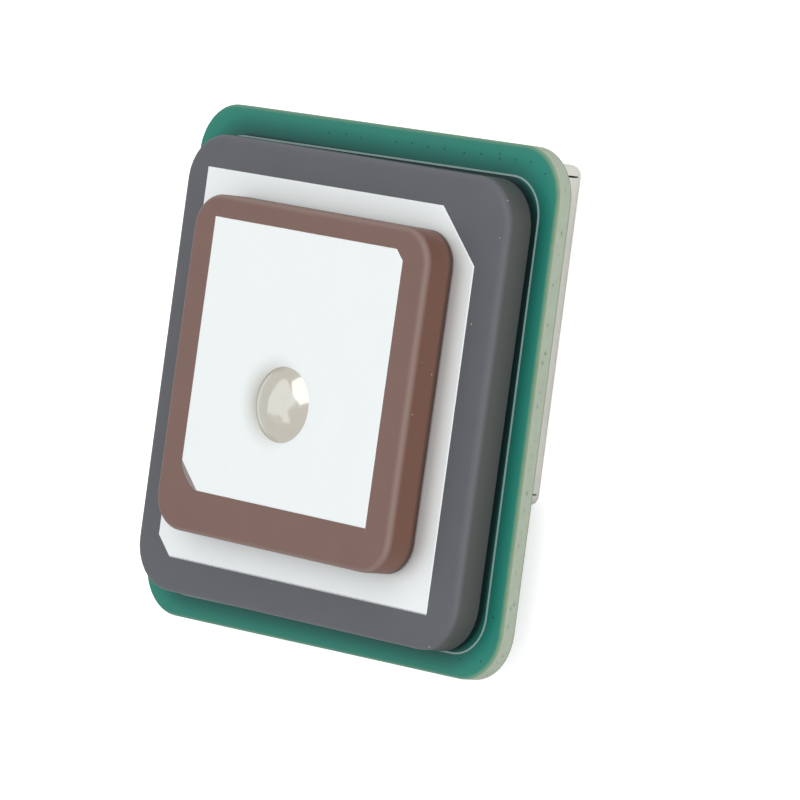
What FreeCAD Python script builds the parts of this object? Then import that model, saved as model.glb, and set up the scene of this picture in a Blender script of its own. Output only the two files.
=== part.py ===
import FreeCAD, Part

import math
import os

import Sketcher

# Satellite positioning module, in millimetres. A square circuit board carries two ceramic antenna
# tiles on its front and a folded sheet-metal can beside a side-entry connector on its back.
# The module lies on the can's flat face: +Z points out of the antenna face, and the origin is
# under the middle of the board, on the plane of the can's outer face.

SIZES = {
    # Circuit board
    "board_width": 27.7,
    "board_height": 27.9,
    "board_thickness": 0.8,
    "board_corner": 2.75,
    "board_hole_clearance": 0.05,
    # Printed outline of the antenna's place
    "print_side": 25.1,
    "print_line": 0.1,
    "print_corner": 2.2,
    "print_thickness": 0.03,
    "print_shift_x": -0.04,
    "print_shift_y": -0.21,
    # Feed pin, which both tiles and the board are threaded on
    "feed_x": -0.49,
    "feed_y": -1.31,
    "pin_diameter": 0.9,
    "pin_head_diameter": 1.7,
    "pin_head_thickness": 0.25,
    "pin_stub": 0.55,
    "joint_diameter": 1.9,
    "joint_height": 0.4,
    "joint_collar": 0.12,
    "dome_diameter": 4.03,
    "dome_height": 0.78,
    # Lower tile and the foam tape under it
    "board_tape_side": 23.6,
    "board_tape_corner": 1.6,
    "board_tape_thickness": 0.4,
    "board_tape_hole": 3.0,
    "lower_tile_side": 25.0,
    "lower_tile_thickness": 1.6,
    "lower_tile_corner": 2.6,
    "lower_tile_edge": 0.62,
    "lower_tile_foot_edge": 0.2,
    "lower_tile_offset_x": 0.35,
    "lower_tile_offset_y": 1.2,
    "lower_tile_turn": -0.56,
    "tile_hole_clearance": 0.15,
    "electrode_thickness": 0.03,
    "lower_electrode_side": 21.12,
    "lower_electrode_shift_x": -0.24,
    "lower_electrode_shift_y": -0.09,
    "lower_electrode_trim": 2.85,
    "lower_electrode_small_trim": 1.09,
    "lower_electrode_hole": 2.4,
    # Upper tile and the thin tape under it
    "middle_tape_side": 17.0,
    "middle_tape_corner": 1.2,
    "middle_tape_thickness": 0.05,
    "upper_tile_side": 18.1,
    "upper_tile_thickness": 2.0,
    "upper_tile_corner": 1.9,
    "upper_tile_edge": 0.36,
    "upper_tile_foot_edge": 0.1,
    "upper_tile_offset_x": 0.16,
    "upper_tile_offset_y": 1.31,
    "upper_tile_turn": -0.83,
    "upper_electrode_side": 14.6,
    "upper_electrode_shift_x": 0.0,
    "upper_electrode_shift_y": 0.56,
    "upper_electrode_trim": 1.45,
    "upper_electrode_small_trim": 0.55,
    # Folded shield can on the back
    "can_width": 25.6,
    "can_length": 17.8,
    "can_top_margin": 0.72,
    "can_depth": 1.8,
    "can_sheet": 0.25,
    "can_corner": 0.55,
    "can_bend": 0.45,
    "can_slit": 0.1,
    # Side-entry connector on the back
    "connector_ways": 6,
    "connector_pitch": 1.0,
    "connector_side_wall": 1.5,
    "connector_length": 4.2,
    "connector_setback": 0.3,
    "connector_rest_clearance": 0.2,
    "connector_wall": 0.3,
    "connector_back_wall": 1.0,
    "connector_end_wall": 0.7,
    "key_width": 0.6,
    "key_length": 1.4,
    "contact_width": 0.3,
    "contact_thickness": 0.2,
    "contact_tip_setback": 0.7,
    "contact_drop_gap": 0.15,
    "contact_foot": 0.8,
    "contact_slot_clearance": 0.02,
    "tab_thickness": 0.2,
    "tab_rise": 1.0,
    "tab_foot": 0.6,
    "tab_length": 1.6,
    "tab_setback": 0.8,
    # Electronics under the can
    "layout_margin": 1.0,
    "part_gap": 0.8,
    "chip_bevel": 0.08,
    "dimple_diameter": 0.5,
    "dimple_depth": 0.06,
    "dimple_inset": 0.7,
    "receiver_side": 7.0,
    "receiver_height": 0.9,
    "memory_length": 4.0,
    "memory_width": 3.0,
    "memory_height": 0.75,
    "regulator_length": 2.9,
    "regulator_width": 1.6,
    "regulator_height": 1.1,
    "lead_width": 0.4,
    "lead_thickness": 0.15,
    "lead_reach": 0.6,
    "lead_pitch": 0.95,
    "oscillator_length": 2.0,
    "oscillator_width": 1.6,
    "oscillator_height": 0.7,
    "crystal_length": 3.2,
    "crystal_width": 1.5,
    "crystal_height": 0.8,
    "lid_inset": 0.12,
    "lid_height": 0.25,
    "amplifier_length": 1.5,
    "amplifier_width": 1.0,
    "amplifier_height": 0.5,
    "amplifier_count": 2,
    "filter_length": 1.4,
    "filter_width": 1.1,
    "filter_height": 0.6,
    "filter_count": 2,
    "capacitor_length": 1.0,
    "capacitor_width": 0.5,
    "capacitor_height": 0.5,
    "capacitor_pitch": 1.2,
    "capacitor_count": 8,
    "resistor_length": 1.0,
    "resistor_width": 0.5,
    "resistor_height": 0.35,
    "resistor_pitch": 1.2,
    "resistor_count": 6,
    "inductor_length": 1.6,
    "inductor_width": 0.8,
    "inductor_height": 0.8,
    "inductor_pitch": 1.8,
    "inductor_count": 3,
    "terminal_length": 0.22,
    "terminal_proud": 0.03,
}

# Heights, from the can's outer face up to the solder on the upper tile.
BOARD_BACK = "sheet.can_depth"
BOARD_FRONT = f"({BOARD_BACK} + sheet.board_thickness)"
LOWER_TILE_SEAT = f"({BOARD_FRONT} + sheet.board_tape_thickness)"
LOWER_TILE_TOP = f"({LOWER_TILE_SEAT} + sheet.lower_tile_thickness)"
MIDDLE_TAPE_SEAT = f"({LOWER_TILE_TOP} + sheet.electrode_thickness)"
UPPER_TILE_SEAT = f"({MIDDLE_TAPE_SEAT} + sheet.middle_tape_thickness)"
UPPER_TILE_TOP = f"({UPPER_TILE_SEAT} + sheet.upper_tile_thickness)"
SOLDER_SEAT = f"({UPPER_TILE_TOP} + sheet.electrode_thickness)"

PIN_RADIUS = "(sheet.pin_diameter / 2)"
TILE_HOLE_RADIUS = f"({PIN_RADIUS} + sheet.tile_hole_clearance)"

# The can's outer limits in plan.
CAN_TOP = "(sheet.board_height / 2 - sheet.can_top_margin)"
CAN_BOTTOM = f"({CAN_TOP} - sheet.can_length)"
CAN_MIDDLE = f"(({CAN_TOP} + {CAN_BOTTOM}) / 2)"
CAN_RIGHT = "(sheet.can_width / 2)"

# The connector's outer size: it stops short of the plane that the can rests on.
CONNECTOR_HEIGHT = "(sheet.can_depth - sheet.connector_rest_clearance)"
CONNECTOR_WIDTH = "((sheet.connector_ways - 1) * sheet.connector_pitch + 2 * sheet.connector_side_wall)"
CONNECTOR_MOUTH = "(sheet.connector_setback - sheet.board_height / 2)"

doc = FreeCAD.newDocument("positioning_module")
sheet = doc.addObject("Spreadsheet::Sheet", "sheet")
sheet.Label = "sizes"
for line, (alias, size) in enumerate(SIZES.items(), start=1):
    sheet.set(f"A{line}", alias)
    sheet.set(f"B{line}", str(size))
    sheet.setAlias(f"B{line}", alias)
doc.recompute()

sub_parts = []
TOUCH = 1e-4


def new_body(label, x, y, z, turn="0"):
    """A sub-part's body, placed by expressions and turned about its own upright axis."""
    body = doc.addObject("PartDesign::Body", label)
    body.Label = label
    body.Placement.Rotation.Axis = FreeCAD.Vector(0, 0, 1)
    body.setExpression("Placement.Base.x", x)
    body.setExpression("Placement.Base.y", y)
    body.setExpression("Placement.Base.z", z)
    body.setExpression("Placement.Rotation.Angle", turn)
    sub_parts.append(body)
    return body


def origin_item(body, role):
    """One of the body's own origin planes or axes, by its role."""
    return next(item for item in body.Origin.OriginFeatures if item.Role == role)


def new_sketch(body, name, role="XY_Plane", height="0"):
    """A sketch on one of the body's planes, moved along that plane's normal by a height."""
    sketch = body.newObject("Sketcher::SketchObject", f"{body.Name}_{name}")
    sketch.AttachmentSupport = (origin_item(body, role), [""])
    sketch.MapMode = "FlatFace"
    sketch.setExpression("AttachmentOffset.Base.z", height)
    return sketch


def hold_point(sketch, curve, point, x, y):
    """Hold one point of a curve at x, y, both given as expressions."""
    for kind, place in (("DistanceX", x), ("DistanceY", y)):
        rule = sketch.addConstraint(Sketcher.Constraint(kind, -1, 1, curve, point, 1.0))
        sketch.setExpression(f"Constraints[{rule}]", place)


def draw_polygon(sketch, corners):
    """A closed outline of straight lines through corners, each a pair of expressions."""
    first = sketch.GeometryCount
    count = len(corners)
    steps = [2 * math.pi * index / count for index in range(count)]
    ring = [FreeCAD.Vector(math.cos(step), math.sin(step), 0) for step in steps]
    for index in range(count):
        sketch.addGeometry(Part.LineSegment(ring[index], ring[(index + 1) % count]))
    for index in range(count):
        after = first + (index + 1) % count
        sketch.addConstraint(Sketcher.Constraint("Coincident", first + index, 2, after, 1))
    for index, (x, y) in enumerate(corners):
        hold_point(sketch, first + index, 1, x, y)


def draw_rectangle(sketch, left, right, bottom, top):
    """A rectangle between two places across and two places up."""
    draw_polygon(sketch, [(left, bottom), (right, bottom), (right, top), (left, top)])


def draw_centred_rectangle(sketch, width, height, x="0", y="0"):
    """A rectangle about a centre."""
    draw_rectangle(sketch, f"{x} - {width} / 2", f"{x} + {width} / 2",
                   f"{y} - {height} / 2", f"{y} + {height} / 2")


def draw_circle(sketch, x, y, radius):
    """A circle held by its centre and radius."""
    curve = sketch.addGeometry(Part.Circle(FreeCAD.Vector(0, 0, 0), FreeCAD.Vector(0, 0, 1), 1.0))
    hold_point(sketch, curve, 3, x, y)
    rule = sketch.addConstraint(Sketcher.Constraint("Radius", curve, 1.0))
    sketch.setExpression(f"Constraints[{rule}]", radius)


def pad(body, sketch, length, both_ways=False):
    """Raise a sketch into a solid."""
    feature = body.newObject("PartDesign::Pad", f"{sketch.Name}_pad")
    feature.Profile = sketch
    feature.setExpression("Length", length)
    if both_ways:
        feature.SideType = "Symmetric"
    doc.recompute()
    return feature


def pocket(body, sketch, length, towards_normal=False, both_ways=False):
    """Sink a sketch into the body."""
    feature = body.newObject("PartDesign::Pocket", f"{sketch.Name}_pocket")
    feature.Profile = sketch
    feature.setExpression("Length", length)
    feature.Reversed = towards_normal
    if both_ways:
        feature.SideType = "Symmetric"
    doc.recompute()
    return feature


def turn_about_upright(body, sketch):
    """Turn a half profile about the sketch's vertical axis into a round solid."""
    feature = body.newObject("PartDesign::Revolution", f"{sketch.Name}_turned")
    feature.Profile = sketch
    feature.ReferenceAxis = (sketch, ["V_Axis"])
    feature.Angle = 360.0
    doc.recompute()
    return feature


def round_edges(body, name, base, wanted, radius, kind="Fillet"):
    """Fillet or chamfer the edges of a feature that a test picks out."""
    names = [f"Edge{index}" for index, edge in enumerate(base.Shape.Edges, start=1) if wanted(edge)]
    feature = body.newObject(f"PartDesign::{kind}", f"{body.Name}_{name}")
    feature.Base = (base, names)
    feature.setExpression("Radius" if kind == "Fillet" else "Size", radius)
    doc.recompute()
    return feature


def repeat(body, feature, axis, pitch, count, backwards=False):
    """A straight row of copies of one feature."""
    row = body.newObject("PartDesign::LinearPattern", f"{feature.Name}_row")
    row.Originals = [feature]
    row.Direction = (origin_item(body, axis), [""])
    row.Mode = "Spacing"
    row.Reversed = backwards
    row.setExpression("Offset", pitch)
    row.setExpression("Occurrences", count)
    body.Tip = row
    doc.recompute()
    return row


def is_upright(edge):
    """True for a straight edge along Z that isn't the seam of a round hole."""
    box = edge.BoundBox
    straight = isinstance(edge.Curve, Part.Line)
    return straight and box.XLength < TOUCH and box.YLength < TOUCH


def at_outer_corner(shape):
    """A test for the upright edges at the four outer corners of a shape."""
    limits = shape.BoundBox

    def wanted(edge):
        box = edge.BoundBox
        at_side = min(abs(box.XMin - limits.XMin), abs(box.XMin - limits.XMax)) < TOUCH
        at_end = min(abs(box.YMin - limits.YMin), abs(box.YMin - limits.YMax)) < TOUCH
        return is_upright(edge) and at_side and at_end

    return wanted


def at_inner_corner(shape):
    """A test for the other upright edges of a shape, before any is rounded."""
    outer = at_outer_corner(shape)
    return lambda edge: is_upright(edge) and not outer(edge)


def on_rim(shape, level, hole_centre=None):
    """A test for the level edges at one height of a shape, apart from those of a hole."""
    def wanted(edge):
        box = edge.BoundBox
        level_edge = abs(box.ZMin - level) < TOUCH and abs(box.ZMax - level) < TOUCH
        if hole_centre is None:
            return level_edge
        round_hole = isinstance(edge.Curve, Part.Circle) and edge.Curve.Center.distanceToPoint(
            FreeCAD.Vector(hole_centre[0], hole_centre[1], level)) < TOUCH
        return level_edge and not round_hole

    return wanted


# Circuit board: routed glass-epoxy laminate with rounded corners and one plated hole for the pin.
board = new_body("main_board", "0", "0", BOARD_BACK)
board_sketch = new_sketch(board, "plan")
draw_centred_rectangle(board_sketch, "sheet.board_width", "sheet.board_height")
draw_circle(board_sketch, "sheet.feed_x", "sheet.feed_y", f"{PIN_RADIUS} + sheet.board_hole_clearance")
board_slab = pad(board, board_sketch, "sheet.board_thickness")
round_edges(board, "corners", board_slab, at_outer_corner(board_slab.Shape), "sheet.board_corner")

# Printed outline: a thin closed line of ink that shows where the antenna goes.
print_body = new_body("outline_print", "sheet.print_shift_x", "sheet.print_shift_y", BOARD_FRONT)
print_sketch = new_sketch(print_body, "plan")
PRINT_INNER = "(sheet.print_side - 2 * sheet.print_line)"
draw_centred_rectangle(print_sketch, "sheet.print_side", "sheet.print_side")
draw_centred_rectangle(print_sketch, PRINT_INNER, PRINT_INNER)
print_ring = pad(print_body, print_sketch, "sheet.print_thickness")
print_inner = round_edges(print_body, "inner", print_ring, at_inner_corner(print_ring.Shape),
                          "sheet.print_corner - sheet.print_line")
round_edges(print_body, "outer", print_inner, at_outer_corner(print_inner.Shape), "sheet.print_corner")


def stacked_slab(label, seat, side, offset_x, offset_y, turn, thickness, hole_radius, corner):
    """A square slab threaded on the feed pin: its own origin is the pin's axis at its seat."""
    body = new_body(label, "sheet.feed_x", "sheet.feed_y", seat, turn)
    sketch = new_sketch(body, "plan")
    draw_centred_rectangle(sketch, side, side, offset_x, offset_y)
    draw_circle(sketch, "0", "0", hole_radius)
    slab = pad(body, sketch, thickness)
    rounded = round_edges(body, "corners", slab, at_outer_corner(slab.Shape), corner)
    return body, rounded


def pressed_tile(label, seat, size, turn):
    """A pressed and fired ceramic tile: rounded corners, a rounded face edge and a softer foot."""
    body, tile = stacked_slab(label, seat, f"sheet.{size}_side", f"sheet.{size}_offset_x",
                              f"sheet.{size}_offset_y", turn, f"sheet.{size}_thickness",
                              TILE_HOLE_RADIUS, f"sheet.{size}_corner")
    top = SIZES[f"{size}_thickness"]
    faced = round_edges(body, "face_edge", tile, on_rim(tile.Shape, top, (0, 0)), f"sheet.{size}_edge")
    round_edges(body, "foot_edge", faced, on_rim(faced.Shape, 0.0, (0, 0)), f"sheet.{size}_foot_edge")
    return body


def fired_electrode(label, seat, size, tile, turn, hole_radius, cut_corners):
    """A thin fired silver face, off centre on its tile, with corners trimmed to tune it."""
    body = new_body(label, "sheet.feed_x", "sheet.feed_y", seat, turn)
    sketch = new_sketch(body, "plan")
    middle_x = f"(sheet.{tile}_offset_x + sheet.{size}_shift_x)"
    middle_y = f"(sheet.{tile}_offset_y + sheet.{size}_shift_y)"
    half = f"sheet.{size}_side / 2"
    corners = []
    for sign_x, sign_y in ((-1, -1), (1, -1), (1, 1), (-1, 1)):
        corner_x = f"{middle_x} + {sign_x} * {half}"
        corner_y = f"{middle_y} + {sign_y} * {half}"
        trim = cut_corners.get((sign_x, sign_y))
        if trim is None:
            corners.append((corner_x, corner_y))
            continue
        along_x = (f"{corner_x} - {sign_x} * sheet.{trim}", corner_y)
        along_y = (corner_x, f"{corner_y} - {sign_y} * sheet.{trim}")
        corners += [along_y, along_x] if sign_x * sign_y > 0 else [along_x, along_y]
    draw_polygon(sketch, corners)
    draw_circle(sketch, "0", "0", hole_radius)
    pad(body, sketch, "sheet.electrode_thickness")
    return body


# Foam tape: holds the lower tile a little off the board, set back from the tile's edges.
stacked_slab("board_tape", BOARD_FRONT, "sheet.board_tape_side", "sheet.lower_tile_offset_x",
             "sheet.lower_tile_offset_y", "sheet.lower_tile_turn", "sheet.board_tape_thickness",
             "sheet.board_tape_hole / 2", "sheet.board_tape_corner")

# Lower antenna tile with its silver face.
pressed_tile("lower_ceramic", LOWER_TILE_SEAT, "lower_tile", "sheet.lower_tile_turn")
fired_electrode("lower_electrode", LOWER_TILE_TOP, "lower_electrode", "lower_tile",
                "sheet.lower_tile_turn", "sheet.lower_electrode_hole / 2",
                {(1, 1): "lower_electrode_trim", (-1, -1): "lower_electrode_small_trim"})

# Thin tape between the two tiles.
stacked_slab("middle_tape", MIDDLE_TAPE_SEAT, "sheet.middle_tape_side", "sheet.upper_tile_offset_x",
             "sheet.upper_tile_offset_y", "sheet.upper_tile_turn", "sheet.middle_tape_thickness",
             "sheet.lower_electrode_hole / 2", "sheet.middle_tape_corner")

# Upper antenna tile with its silver face, which the feed pin's head lies on.
pressed_tile("upper_ceramic", UPPER_TILE_SEAT, "upper_tile", "sheet.upper_tile_turn")
fired_electrode("upper_electrode", UPPER_TILE_TOP, "upper_electrode", "upper_tile",
                "sheet.upper_tile_turn", PIN_RADIUS,
                {(-1, -1): "upper_electrode_trim", (1, 1): "upper_electrode_small_trim"})

# Feed pin: a headed tinned pin from the upper silver face to just past the board's back.
pin = new_body("feed_pin", "sheet.feed_x", "sheet.feed_y", SOLDER_SEAT)
pin_sketch = new_sketch(pin, "half_profile", "XZ_Plane")
HEAD_RADIUS = "(sheet.pin_head_diameter / 2)"
PIN_END = f"({BOARD_BACK} - sheet.pin_stub - {SOLDER_SEAT})"
draw_polygon(pin_sketch, [
    ("0", PIN_END), (PIN_RADIUS, PIN_END), (PIN_RADIUS, "0"), (HEAD_RADIUS, "0"),
    (HEAD_RADIUS, "sheet.pin_head_thickness"), ("0", "sheet.pin_head_thickness")])
turn_about_upright(pin, pin_sketch)

# Solder over the pin's head: a low round cap that has wetted the silver face and closed on the head.
DOME_RADIUS = "(sheet.dome_diameter / 2)"
BALL_RADIUS = f"(({DOME_RADIUS} ^ 2 + sheet.dome_height ^ 2) / (2 * sheet.dome_height))"
BALL_DROP = f"({BALL_RADIUS} - sheet.dome_height)"
cap = doc.addObject("Part::Sphere", "solder_cap")
cap.setExpression("Radius", BALL_RADIUS)
cap.setExpression("Angle1", f"asin({BALL_DROP} / {BALL_RADIUS})")
cap.setExpression("Placement.Base.z", f"{SOLDER_SEAT} - {BALL_DROP}")
head_room = doc.addObject("Part::Cylinder", "pin_head_room")
head_room.setExpression("Radius", HEAD_RADIUS)
head_room.setExpression("Height", "sheet.pin_head_thickness")
head_room.setExpression("Placement.Base.z", SOLDER_SEAT)
for solid in (cap, head_room):
    solid.setExpression("Placement.Base.x", "sheet.feed_x")
    solid.setExpression("Placement.Base.y", "sheet.feed_y")
dome = doc.addObject("Part::Cut", "solder_dome")
dome.Label = "solder_dome"
dome.Base = cap
dome.Tool = head_room
sub_parts.append(dome)

# Solder of the pin on the board's back: a cone that climbs the pin to a thin collar.
joint = new_body("feed_joint", "sheet.feed_x", "sheet.feed_y", BOARD_BACK)
joint_sketch = new_sketch(joint, "half_profile", "XZ_Plane")
COLLAR_RADIUS = f"({PIN_RADIUS} + sheet.joint_collar)"
draw_polygon(joint_sketch, [
    (PIN_RADIUS, "0"), (PIN_RADIUS, "-sheet.joint_height"), (COLLAR_RADIUS, "-sheet.joint_height"),
    ("sheet.joint_diameter / 2", "0")])
turn_about_upright(joint, joint_sketch)

# Shield can: one folded sheet. Its plate bends into four walls, the end walls turn the rounded
# corners, and each side wall stops a slit short of them.
can = new_body("shield_can", "0", "0", "0")
can_sketch = new_sketch(can, "plate")
draw_centred_rectangle(can_sketch, "sheet.can_width", "sheet.can_length", "0", CAN_MIDDLE)
pad(can, can_sketch, "sheet.can_depth")
hollow_sketch = new_sketch(can, "hollow", height="sheet.can_sheet")
draw_centred_rectangle(hollow_sketch, "(sheet.can_width - 2 * sheet.can_sheet)",
                       "(sheet.can_length - 2 * sheet.can_sheet)", "0", CAN_MIDDLE)
can_hollow = pocket(can, hollow_sketch, "sheet.can_depth", towards_normal=True)
can_inner = round_edges(can, "inner_corners", can_hollow, at_inner_corner(can_hollow.Shape),
                        "sheet.can_corner - sheet.can_sheet")
can_outer = round_edges(can, "outer_corners", can_inner, at_outer_corner(can_inner.Shape),
                        "sheet.can_corner")
can_bent = round_edges(can, "outer_bend", can_outer, on_rim(can_outer.Shape, 0.0), "sheet.can_bend")
round_edges(can, "inner_bend", can_bent, on_rim(can_bent.Shape, SIZES["can_sheet"]),
            "sheet.can_bend - sheet.can_sheet")
slit_sketch = new_sketch(can, "corner_slits", "YZ_Plane")
for wall, inward in ((CAN_TOP, -1), (CAN_BOTTOM, 1)):
    corner_end = f"{wall} + {inward} * sheet.can_corner"
    slit_end = f"{corner_end} + {inward} * sheet.can_slit"
    near, far = (slit_end, corner_end) if inward < 0 else (corner_end, slit_end)
    draw_rectangle(slit_sketch, near, far, "sheet.can_bend", "sheet.can_depth")
pocket(can, slit_sketch, "sheet.can_width", both_ways=True)

# Connector housing: moulded, open towards the board's lower edge, with two keyways in its roof and
# a row of slots through its back wall for the contacts.
housing = new_body("connector_housing", "0", CONNECTOR_MOUTH, "sheet.connector_rest_clearance")
housing_sketch = new_sketch(housing, "block")
draw_rectangle(housing_sketch, f"-{CONNECTOR_WIDTH} / 2", f"{CONNECTOR_WIDTH} / 2", "0",
               "sheet.connector_length")
pad(housing, housing_sketch, CONNECTOR_HEIGHT)
CAVITY_WIDTH = f"({CONNECTOR_WIDTH} - 2 * sheet.connector_end_wall)"
CAVITY_LENGTH = "(sheet.connector_length - sheet.connector_back_wall)"
cavity_sketch = new_sketch(housing, "cavity", "XZ_Plane")
draw_rectangle(cavity_sketch, f"-{CAVITY_WIDTH} / 2", f"{CAVITY_WIDTH} / 2", "sheet.connector_wall",
               f"{CONNECTOR_HEIGHT} - sheet.connector_wall")
pocket(housing, cavity_sketch, CAVITY_LENGTH)
key_sketch = new_sketch(housing, "keyways", "XZ_Plane")
KEY_MIDDLE = f"({CAVITY_WIDTH} / 2 - sheet.key_width)"
for side in (-1, 1):
    draw_rectangle(key_sketch, f"{side} * {KEY_MIDDLE} - sheet.key_width / 2",
                   f"{side} * {KEY_MIDDLE} + sheet.key_width / 2", "0", "sheet.connector_wall")
pocket(housing, key_sketch, "sheet.key_length")
CONTACT_LEVEL = f"({CONNECTOR_HEIGHT} / 2)"
FIRST_CONTACT = "(-(sheet.connector_ways - 1) * sheet.connector_pitch / 2)"
slot_sketch = new_sketch(housing, "contact_slot", "XZ_Plane")
draw_centred_rectangle(slot_sketch, "(sheet.contact_width + 2 * sheet.contact_slot_clearance)",
                       "(sheet.contact_thickness + 2 * sheet.contact_slot_clearance)", FIRST_CONTACT,
                       CONTACT_LEVEL)
contact_slot = pocket(housing, slot_sketch, "sheet.connector_length")
repeat(housing, contact_slot, "X_Axis", "sheet.connector_pitch", "sheet.connector_ways")

# Contacts: stamped pins that leave the back wall, drop to the board and end in a soldered foot.
contacts = new_body("connector_contacts", "0", CONNECTOR_MOUTH, "sheet.connector_rest_clearance")
contact_sketch = new_sketch(contacts, "profile", "YZ_Plane", FIRST_CONTACT)
PIN_FACE = f"({CONTACT_LEVEL} + sheet.contact_thickness / 2)"
PIN_UNDERSIDE = f"({CONTACT_LEVEL} - sheet.contact_thickness / 2)"
DROP = "(sheet.connector_length + sheet.contact_drop_gap)"
FOOT_UNDERSIDE = f"({CONNECTOR_HEIGHT} - sheet.contact_thickness)"
draw_polygon(contact_sketch, [
    ("sheet.contact_tip_setback", PIN_UNDERSIDE), (f"{DROP} + sheet.contact_thickness", PIN_UNDERSIDE),
    (f"{DROP} + sheet.contact_thickness", FOOT_UNDERSIDE),
    (f"{DROP} + sheet.contact_thickness + sheet.contact_foot", FOOT_UNDERSIDE),
    (f"{DROP} + sheet.contact_thickness + sheet.contact_foot", CONNECTOR_HEIGHT),
    (DROP, CONNECTOR_HEIGHT), (DROP, PIN_FACE), ("sheet.contact_tip_setback", PIN_FACE)])
contact = pad(contacts, contact_sketch, "sheet.contact_width", both_ways=True)
repeat(contacts, contact, "X_Axis", "sheet.connector_pitch", "sheet.connector_ways")

# Hold-down tabs: two bent strips against the housing's ends, soldered to the board.
tabs = new_body("connector_tabs", "0", CONNECTOR_MOUTH, "sheet.connector_rest_clearance")
tab_sketch = new_sketch(tabs, "profile", "XZ_Plane", "-sheet.tab_setback")
HOUSING_END = f"({CONNECTOR_WIDTH} / 2)"
TAB_TOE = f"({HOUSING_END} + sheet.tab_thickness + sheet.tab_foot)"
draw_polygon(tab_sketch, [
    (HOUSING_END, f"{CONNECTOR_HEIGHT} - sheet.tab_rise"),
    (f"{HOUSING_END} + sheet.tab_thickness", f"{CONNECTOR_HEIGHT} - sheet.tab_rise"),
    (f"{HOUSING_END} + sheet.tab_thickness", f"{CONNECTOR_HEIGHT} - sheet.tab_thickness"),
    (TAB_TOE, f"{CONNECTOR_HEIGHT} - sheet.tab_thickness"), (TAB_TOE, CONNECTOR_HEIGHT),
    (HOUSING_END, CONNECTOR_HEIGHT)])
tab = tabs.newObject("PartDesign::Pad", "connector_tab")
tab.Profile = tab_sketch
tab.setExpression("Length", "sheet.tab_length")
tab.Reversed = True
tab_pair = tabs.newObject("PartDesign::Mirrored", "connector_tab_pair")
tab_pair.Originals = [tab]
tab_pair.MirrorPlane = (origin_item(tabs, "YZ_Plane"), [""])
tabs.Tip = tab_pair
doc.recompute()

# Where the electronics lie under the can. The receiver sits in the can's upper right corner, the
# memory and regulator below it, and the oscillator, crystal and small chips beside it. The matching
# coils and the filters lie on either side of the feed, and the amplifiers along the can's left wall.
RECEIVER_X = f"({CAN_RIGHT} - sheet.can_sheet - sheet.layout_margin - sheet.receiver_side / 2)"
RECEIVER_Y = f"({CAN_TOP} - sheet.can_sheet - sheet.layout_margin - sheet.receiver_side / 2)"
RECEIVER_FOOT = f"({RECEIVER_Y} - sheet.receiver_side / 2 - sheet.part_gap)"
MEMORY_X = f"({CAN_RIGHT} - sheet.can_sheet - sheet.layout_margin - sheet.memory_length / 2)"
MEMORY_Y = f"({RECEIVER_FOOT} - sheet.memory_width / 2)"
REGULATOR_X = f"({MEMORY_X} - sheet.memory_length / 2 - sheet.part_gap - sheet.regulator_length / 2)"
REGULATOR_Y = f"({RECEIVER_FOOT} - sheet.lead_reach - sheet.regulator_width / 2)"
OSCILLATOR_X = (f"({RECEIVER_X} - sheet.receiver_side / 2 - sheet.part_gap"
                " - sheet.oscillator_length / 2)")
CRYSTAL_X = (f"({OSCILLATOR_X} - sheet.oscillator_length / 2 - sheet.part_gap"
             " - sheet.crystal_length / 2)")
CAPACITOR_Y = (f"({RECEIVER_Y} - sheet.oscillator_width / 2 - sheet.part_gap"
               " - sheet.capacitor_length / 2)")
RESISTOR_Y = (f"({CAPACITOR_Y} - sheet.capacitor_length / 2 - sheet.part_gap"
              " - sheet.resistor_length / 2)")
INDUCTOR_X = "(sheet.feed_x + sheet.joint_diameter / 2 + sheet.part_gap + sheet.inductor_width / 2)"
FILTER_X = "(sheet.feed_x - sheet.joint_diameter / 2 - sheet.part_gap - sheet.filter_length / 2)"
AMPLIFIER_X = f"(sheet.can_sheet + sheet.layout_margin + sheet.amplifier_length / 2 - {CAN_RIGHT})"


def moulded_block(label, size, x, y, length=None, width=None):
    """A moulded chip body that hangs from the board's back, bevelled round its free face."""
    length = length or f"sheet.{size}_length"
    width = width or f"sheet.{size}_width"
    body = new_body(label, x, y, f"{BOARD_BACK} - sheet.{size}_height")
    sketch = new_sketch(body, "plan")
    draw_centred_rectangle(sketch, length, width)
    block = pad(body, sketch, f"sheet.{size}_height")
    round_edges(body, "bevel", block, on_rim(block.Shape, 0.0), "sheet.chip_bevel", "Chamfer")
    return body


def mark_first_terminal(body, length, width):
    """A round dimple in the chip's free face, beside its first terminal."""
    sketch = new_sketch(body, "dimple")
    draw_circle(sketch, f"sheet.dimple_inset - {length} / 2", f"{width} / 2 - sheet.dimple_inset",
                "sheet.dimple_diameter / 2")
    pocket(body, sketch, "sheet.dimple_depth", towards_normal=True)


# Receiver and memory: square leadless packages with a dimple at the first terminal.
receiver = moulded_block("receiver_chip", "receiver", RECEIVER_X, RECEIVER_Y,
                         "sheet.receiver_side", "sheet.receiver_side")
mark_first_terminal(receiver, "sheet.receiver_side", "sheet.receiver_side")
memory = moulded_block("flash_memory", "memory", MEMORY_X, MEMORY_Y)
mark_first_terminal(memory, "sheet.memory_length", "sheet.memory_width")

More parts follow.
